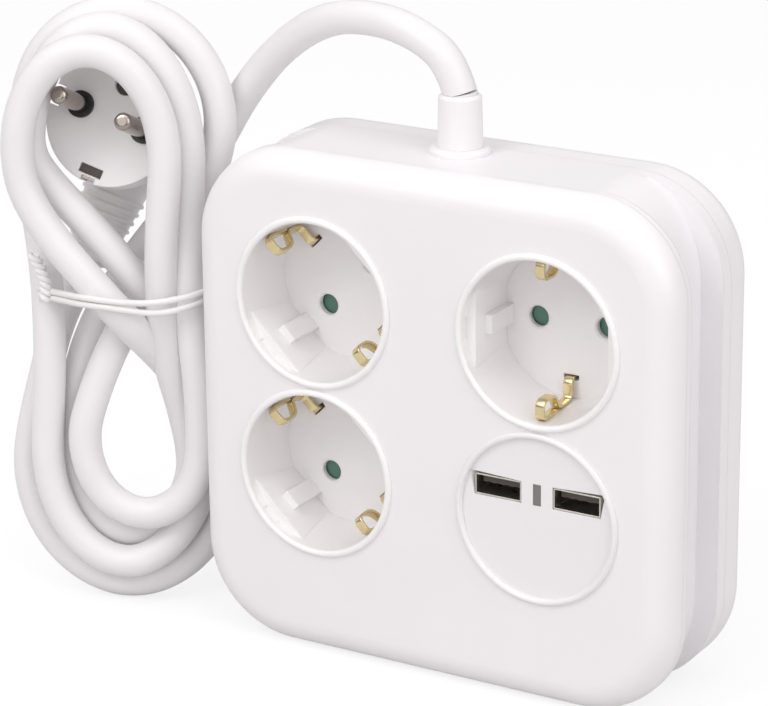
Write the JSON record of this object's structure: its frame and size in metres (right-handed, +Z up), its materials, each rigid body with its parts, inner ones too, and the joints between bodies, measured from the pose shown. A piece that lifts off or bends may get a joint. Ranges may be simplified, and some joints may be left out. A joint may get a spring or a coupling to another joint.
{
  "type": "cube power strip",
  "caption": "Flat square multi-outlet block with earthed round recesses, charging ports and a cord tied up in a hank beside it.",
  "frame": {"origin": "middle of the block's footprint on the floor, without the free cord and its plug", "axes": "+Z up, +X to the viewer's right along the front face, +Y from the front to the back"},
  "size_m": [0.2045, 0.0659, 0.1693],
  "materials": {
    "housing_plastic": "satin",
    "insert_plastic": "satin",
    "base_plastic": "matt",
    "shutter_plastic": "satin",
    "brass": "bright",
    "screw_steel": "zinc plated",
    "port_steel": "nickel plated",
    "port_tongue_plastic": "matt",
    "light_guide_plastic": "clear moulding",
    "led_body": "clear resin",
    "board_laminate": "solder mask",
    "transformer_wrap": "tape",
    "capacitor_can": "sleeved can",
    "cord_guard_plastic": "satin",
    "cord_jacket": "soft vinyl",
    "live_insulation": "vinyl",
    "neutral_insulation": "vinyl",
    "earth_insulation": "vinyl",
    "plug_plastic": "satin",
    "pin_nickel": "nickel plated",
    "pin_collar_plastic": "matt",
    "tie_plastic": "satin"
  },
  "bodies": {
    "housing": {"base_screws": "screw_steel", "board_screws": "screw_steel", "capacitor": "capacitor_can", "clamp_screws": "screw_steel", "cord_clamp": "base_plastic", "cord_collar": "cord_guard_plastic", "cord_entry": "cord_jacket", "cord_hank": "cord_jacket", "cord_lead": "cord_jacket", "cord_sleeve": "cord_guard_plastic", "cord_tail": "cord_jacket", "earth_link": "brass", "earth_wire": "earth_insulation", "front_cover": "housing_plastic", "groove_band": "housing_plastic", "housing_screws": "screw_steel", "light_guide": "light_guide_plastic", "live_rail": "brass", "live_wire": "live_insulation", "lower_left_base": "base_plastic", "lower_left_cup": "insert_plastic", "lower_left_earth_stirrup": "brass", "neutral_rail": "brass", "neutral_wire": "neutral_insulation", "plug_body": "plug_plastic", "plug_collar_left": "pin_collar_plastic", "plug_collar_right": "pin_collar_plastic", "plug_earth_strip_lower": "brass", "plug_earth_strip_upper": "brass", "plug_pin_left": "pin_nickel", "plug_pin_right": "pin_nickel", "rear_cover": "housing_plastic", "status_led": "led_body", "transformer": "transformer_wrap", "twist_tie": "tie_plastic", "upper_left_base": "base_plastic", "upper_left_cup": "insert_plastic", "upper_left_earth_stirrup": "brass", "upper_right_base": "base_plastic", "upper_right_cup": "insert_plastic", "upper_right_earth_stirrup": "brass", "usb_circuit_board": "board_laminate", "usb_faceplate": "insert_plastic", "usb_shell_left": "port_steel", "usb_shell_right": "port_steel", "usb_tongue_left": "port_tongue_plastic", "usb_tongue_right": "port_tongue_plastic"},
    "upper_left_shutter_plate": {"upper_left_shutter": "shutter_plastic"},
    "lower_left_shutter_plate": {"lower_left_shutter": "shutter_plastic"},
    "upper_right_shutter_plate": {"upper_right_shutter": "shutter_plastic"}
  },
  "joints": [
    {"name": "upper_left_shutter_turn", "type": "hinge", "parent": "housing", "child": "upper_left_shutter_plate", "pos_m": [-0.03225, -0.0002, 0.0966], "axis": [0, -1, 0], "range_deg": [0, 38], "stiffness_Nm_per_rad": 0.004, "springref_deg": -11.46},
    {"name": "lower_left_shutter_turn", "type": "hinge", "parent": "housing", "child": "lower_left_shutter_plate", "pos_m": [-0.03225, -0.0002, 0.0506], "axis": [0, -1, 0], "range_deg": [0, 38], "stiffness_Nm_per_rad": 0.004, "springref_deg": -11.46},
    {"name": "upper_right_shutter_turn", "type": "hinge", "parent": "housing", "child": "upper_right_shutter_plate", "pos_m": [0.03225, -0.0002, 0.0966], "axis": [0, -1, 0], "range_deg": [0, 38], "stiffness_Nm_per_rad": 0.004, "springref_deg": -11.46}
  ]
}
